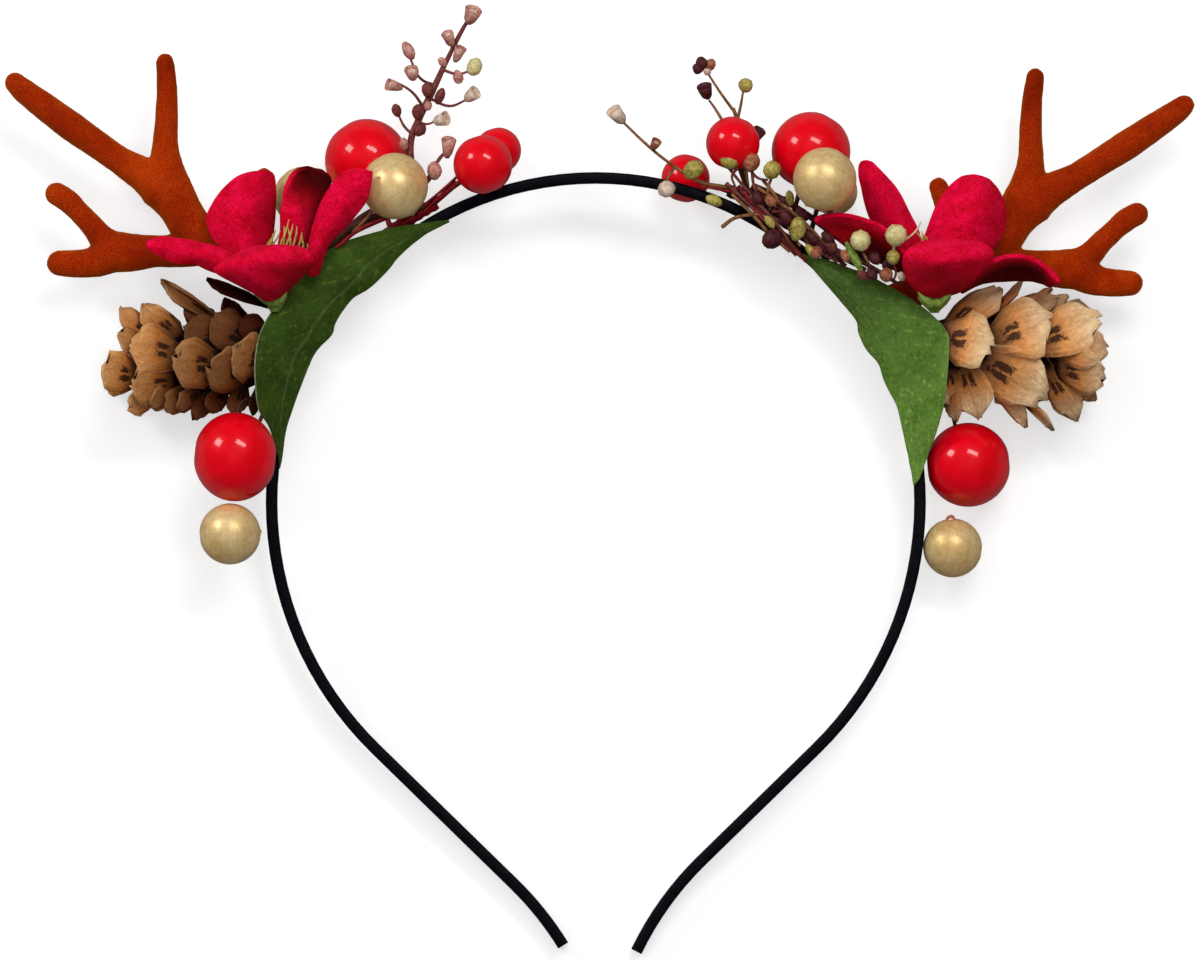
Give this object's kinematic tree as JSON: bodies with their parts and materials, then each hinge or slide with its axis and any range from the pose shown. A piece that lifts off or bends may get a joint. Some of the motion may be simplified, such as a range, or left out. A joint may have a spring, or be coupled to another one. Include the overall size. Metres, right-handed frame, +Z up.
{
  "type": "reindeer antler headband",
  "caption": "Black satin-wrapped costume headband with flocked brown antlers, red felt flowers, green cloth leaves, pine cones, berries and gold beads.",
  "frame": {"origin": "middle of the object's box on the surface that it lies on", "axes": "+X to the wearer's left as seen from the front, +Y from the band's tips to its crown along the surface, +Z up, to the front of the headband"},
  "size_m": [0.227, 0.1802, 0.0327],
  "materials": {
    "satin": "black satin ribbon wound round the strip",
    "flock": "short velvet flock, orange brown",
    "petal_felt": "pressed crimson felt",
    "calyx": "pale green moulded cup",
    "stamen": "straw yellow filaments",
    "leaf_cloth": "printed green woven cloth, pale cut edge",
    "cone_scale": "dry tan woody scales, dark at their roots",
    "berry_red": "glossy red lacquer",
    "bead_gold": "matt pale gold paint with brush rings",
    "wire_wrap": "dark brown floral tape and wire",
    "twig": "pinkish brown twigs with pale buds"
  },
  "bodies": {
    "root": {"band": "satin", "antler_left": "flock", "antler_right": "flock", "petal_left_upright": "petal_felt", "petal_left_side": "petal_felt", "petal_left_front": "petal_felt", "petal_left_right": "petal_felt", "petal_left_back": "petal_felt", "petal_right_upright": "petal_felt", "petal_right_narrow": "petal_felt", "petal_right_side": "petal_felt", "petal_right_front": "petal_felt", "petal_right_droop": "petal_felt", "calyx_left": "calyx", "calyx_right": "calyx", "stamens_left": "stamen", "stamens_right": "stamen", "leaf_left": "leaf_cloth", "leaf_right": "leaf_cloth", "pinecone_left": "cone_scale", "pinecone_right": "cone_scale", "berry_lower_left": "berry_red", "berry_lower_right": "berry_red", "berry_upper_left": "berry_red", "berry_upper_right": "berry_red", "berry_small_left_front": "berry_red", "berry_small_left_back": "berry_red", "berry_mid_right": "berry_red", "berry_small_right": "berry_red", "bead_lower_left": "bead_gold", "bead_lower_right": "bead_gold", "bead_front_left": "bead_gold", "bead_back_left": "bead_gold", "bead_front_right": "bead_gold", "bead_back_right": "bead_gold", "wire_bundle_left": "wire_wrap", "wire_bundle_right": "wire_wrap", "sprig_left": "twig", "sprig_right_long": "twig", "sprig_right_tall": "twig"}
  },
  "joints": []
}
